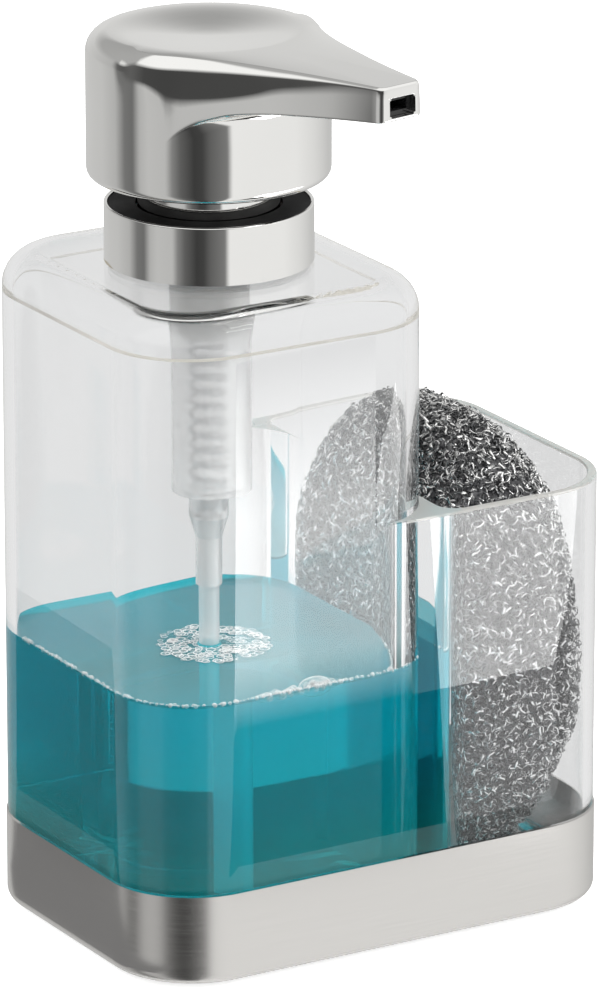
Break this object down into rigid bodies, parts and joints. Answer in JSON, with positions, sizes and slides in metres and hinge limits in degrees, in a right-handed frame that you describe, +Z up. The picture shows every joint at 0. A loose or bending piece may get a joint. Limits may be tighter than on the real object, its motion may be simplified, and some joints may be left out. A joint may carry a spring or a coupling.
{
  "type": "soap pump caddy",
  "caption": "Clear soap bottle with a chrome press pump, joined to an open scrubber tub and standing in a brushed steel tray.",
  "frame": {"origin": "middle of the pad under the tray, on the plane that the caddy rests on", "axes": "+X along the caddy from the bottle to the tub, -Y towards the front that the spout faces, +Z up"},
  "size_m": [0.1104, 0.0948, 0.1858],
  "materials": {
    "steel": "brushed",
    "clear": "clear polished plastic",
    "soap": "teal liquid soap",
    "chrome": "bright chrome plating on plastic",
    "dark": "glossy black plastic",
    "milky": "natural translucent plastic",
    "white": "satin",
    "seal": "soft matt",
    "pad": "foam sheet",
    "spring": "drawn wire",
    "mesh": "knitted stainless ribbon"
  },
  "bodies": {
    "caddy": {"anti_slip_pad": "pad", "base_tray": "steel", "clear_body": "clear", "shoulder_lid": "clear", "soap_fill": "soap"},
    "pump_unit": {"pump_barrel": "milky", "neck_gasket": "seal", "guide_bush": "white", "dip_tube": "milky", "return_spring": "spring"},
    "collar": {"screw_closure": "dark", "collar_shell": "chrome"},
    "plunger": {"stem": "white", "piston": "seal", "piston_seat": "white"},
    "head": {"head_shell": "chrome", "head_insert": "white", "head_skirt": "chrome", "spout_nozzle": "dark"},
    "check_ball": {"inlet_ball": "spring"},
    "scrubber_pad": {"scrubber": "mesh"}
  },
  "joints": [
    {"name": "pump_lift", "type": "slide", "parent": "caddy", "child": "pump_unit", "axis": [0, 0, 1], "range_m": [0, 0.15]},
    {"name": "collar_turn", "type": "hinge", "parent": "pump_unit", "child": "collar", "pos_m": [-0.0211, 0, 0.145], "axis": [0, 0, 1], "continuous": true},
    {"name": "head_press", "type": "slide", "parent": "pump_unit", "child": "plunger", "axis": [0, 0, 1], "range_m": [-0.009, 0], "stiffness_N_per_m": 700, "springref_m": 0.008, "deforming": ["return_spring"]},
    {"name": "head_swivel", "type": "hinge", "parent": "plunger", "child": "head", "pos_m": [-0.0211, 0, 0.17], "axis": [0, 0, 1], "continuous": true},
    {"name": "ball_lift", "type": "slide", "parent": "pump_unit", "child": "check_ball", "axis": [0, 0, 1], "range_m": [0, 0.0015]},
    {"name": "scrubber_lift", "type": "slide", "parent": "caddy", "child": "scrubber_pad", "axis": [0, 0, 1], "range_m": [0, 0.1]}
  ]
}
